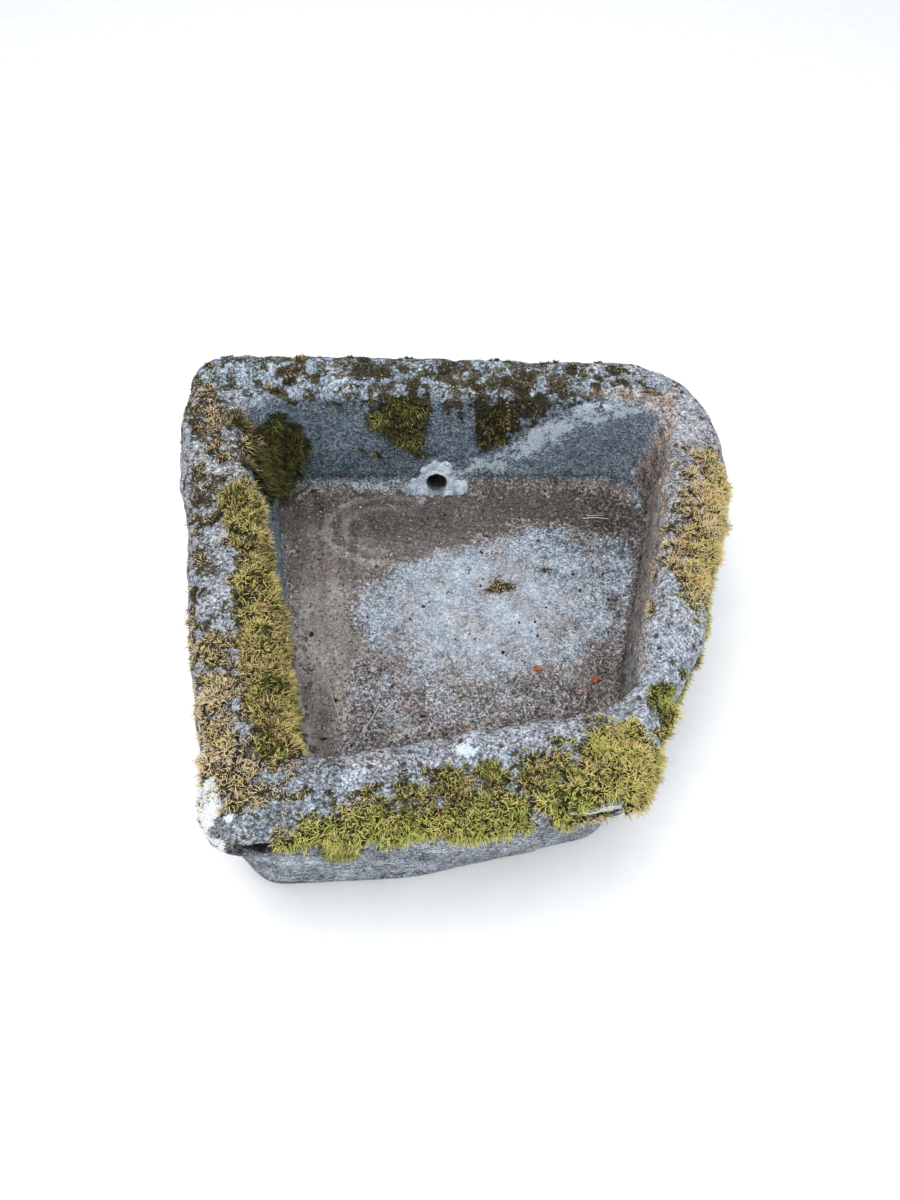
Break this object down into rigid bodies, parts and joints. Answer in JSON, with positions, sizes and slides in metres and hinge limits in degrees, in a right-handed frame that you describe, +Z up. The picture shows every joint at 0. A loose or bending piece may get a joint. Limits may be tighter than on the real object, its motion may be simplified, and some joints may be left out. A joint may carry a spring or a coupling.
{
  "type": "bird bath",
  "caption": "Old hand-cut granite trough with a tapered, rounded plan and a worn broad rim, used as a bird bath, with a mortared drain outlet and patches of moss.",
  "frame": {"origin": "on the ground, in the flat base, under the middle of the rim", "axes": "+Z up, +Y towards the wall with the drain outlet, +X to the right seen from the narrow front"},
  "size_m": [0.784, 0.7536, 0.277],
  "materials": {
    "granite": "rough weathered",
    "mortar": "rough",
    "silt": "matte",
    "dry_leaf": "matte",
    "straw": "satin",
    "grit": "matte",
    "moss_green": "matte",
    "moss_golden": "matte",
    "moss_tan": "matte",
    "moss_dark": "matte",
    "moss_brown": "matte"
  },
  "bodies": {
    "root": {"stone_trough": "granite", "drain_mortar_collar": "mortar", "silt_bed": "silt", "leaf_fragments": "dry_leaf", "straw_stems": "straw", "grit_pebbles": "grit", "moss_left_rim_inner": "moss_green", "moss_left_rim_outer": "moss_dark", "moss_front_left_corner": "moss_golden", "moss_back_left_rim": "moss_tan", "moss_back_left_corner": "moss_dark", "moss_back_wall_centre": "moss_dark", "moss_back_wall_right": "moss_dark", "moss_back_rim_tufts": "moss_brown", "moss_right_rim": "moss_golden", "moss_right_outer": "moss_green", "moss_right_front_tuft": "moss_dark", "moss_front_rim": "moss_green", "moss_front_right_corner": "moss_green", "moss_front_wall_tongue": "moss_green", "moss_floor_tufts": "moss_brown"}
  },
  "joints": []
}
